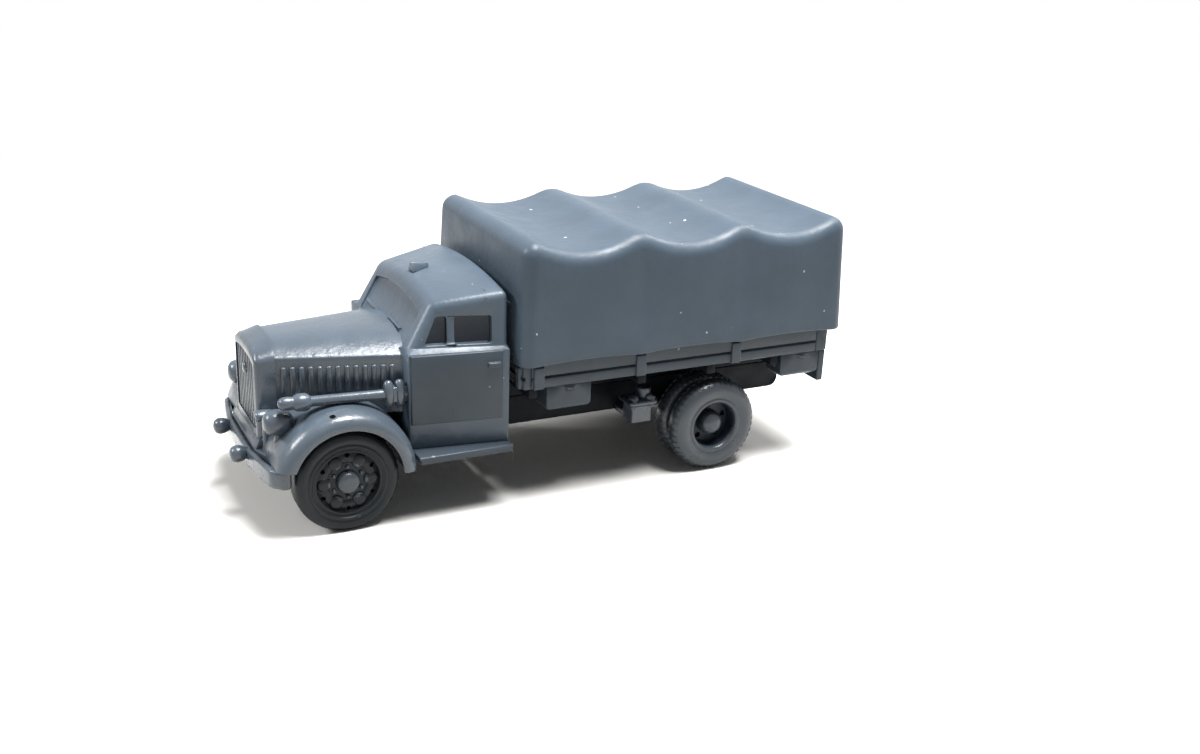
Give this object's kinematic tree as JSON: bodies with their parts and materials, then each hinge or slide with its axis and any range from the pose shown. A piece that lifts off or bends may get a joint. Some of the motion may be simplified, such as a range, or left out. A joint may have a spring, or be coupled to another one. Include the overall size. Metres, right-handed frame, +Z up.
{
  "type": "plastic model of a military cargo truck",
  "caption": "Small moulded plastic model of a bonneted military cargo truck with a canvas-covered bed, free-turning wheels and twin rear tyres.",
  "frame": {"origin": "on the ground, below the middle of the overall length and width", "axes": "+X towards the truck's front, +Y to its left, +Z up"},
  "size_m": [0.058, 0.022, 0.0241],
  "materials": {
    "model_plastic": "satin"
  },
  "bodies": {
    "truck": {"bed_bearers": "model_plastic", "bed_floor": "model_plastic", "bed_sills": "model_plastic", "blackout_lamp": "model_plastic", "bonnet": "model_plastic", "bumper": "model_plastic", "bumper_knob_left": "model_plastic", "bumper_knob_right": "model_plastic", "cab_body": "model_plastic", "canvas_cover": "model_plastic", "chassis_rail_left": "model_plastic", "chassis_rail_right": "model_plastic", "cross_members": "model_plastic", "door_left": "model_plastic", "door_right": "model_plastic", "drive_shaft": "model_plastic", "equipment_carrier": "model_plastic", "front_apron": "model_plastic", "front_axle": "model_plastic", "front_springs": "model_plastic", "gearbox": "model_plastic", "grille": "model_plastic", "headboard": "model_plastic", "headlamp_left": "model_plastic", "headlamp_right": "model_plastic", "jack": "model_plastic", "mudguard_left": "model_plastic", "mudguard_right": "model_plastic", "radiator_shell": "model_plastic", "rear_axle": "model_plastic", "rear_plate": "model_plastic", "rear_springs": "model_plastic", "roof_marker": "model_plastic", "running_board_left": "model_plastic", "running_board_right": "model_plastic", "side_board_left": "model_plastic", "side_board_right": "model_plastic", "stowage_box_front_left": "model_plastic", "stowage_box_front_right": "model_plastic", "stowage_box_rear_left": "model_plastic", "stowage_box_rear_right": "model_plastic", "tailboard": "model_plastic"},
    "wheel_front_left": {"wheel_front_left": "model_plastic"},
    "wheel_front_right": {"wheel_front_right": "model_plastic"},
    "wheel_rear_left": {"wheel_rear_left": "model_plastic"},
    "wheel_rear_right": {"wheel_rear_right": "model_plastic"}
  },
  "joints": [
    {"name": "front_left_wheel_spin", "type": "hinge", "parent": "truck", "child": "wheel_front_left", "pos_m": [0.02048, 0, 0.00455], "axis": [0, 1, 0], "continuous": true},
    {"name": "front_right_wheel_spin", "type": "hinge", "parent": "truck", "child": "wheel_front_right", "pos_m": [0.02048, 0, 0.00455], "axis": [0, 1, 0], "continuous": true},
    {"name": "rear_left_wheel_spin", "type": "hinge", "parent": "truck", "child": "wheel_rear_left", "pos_m": [-0.01553, 0, 0.00455], "axis": [0, 1, 0], "continuous": true},
    {"name": "rear_right_wheel_spin", "type": "hinge", "parent": "truck", "child": "wheel_rear_right", "pos_m": [-0.01553, 0, 0.00455], "axis": [0, 1, 0], "continuous": true}
  ]
}
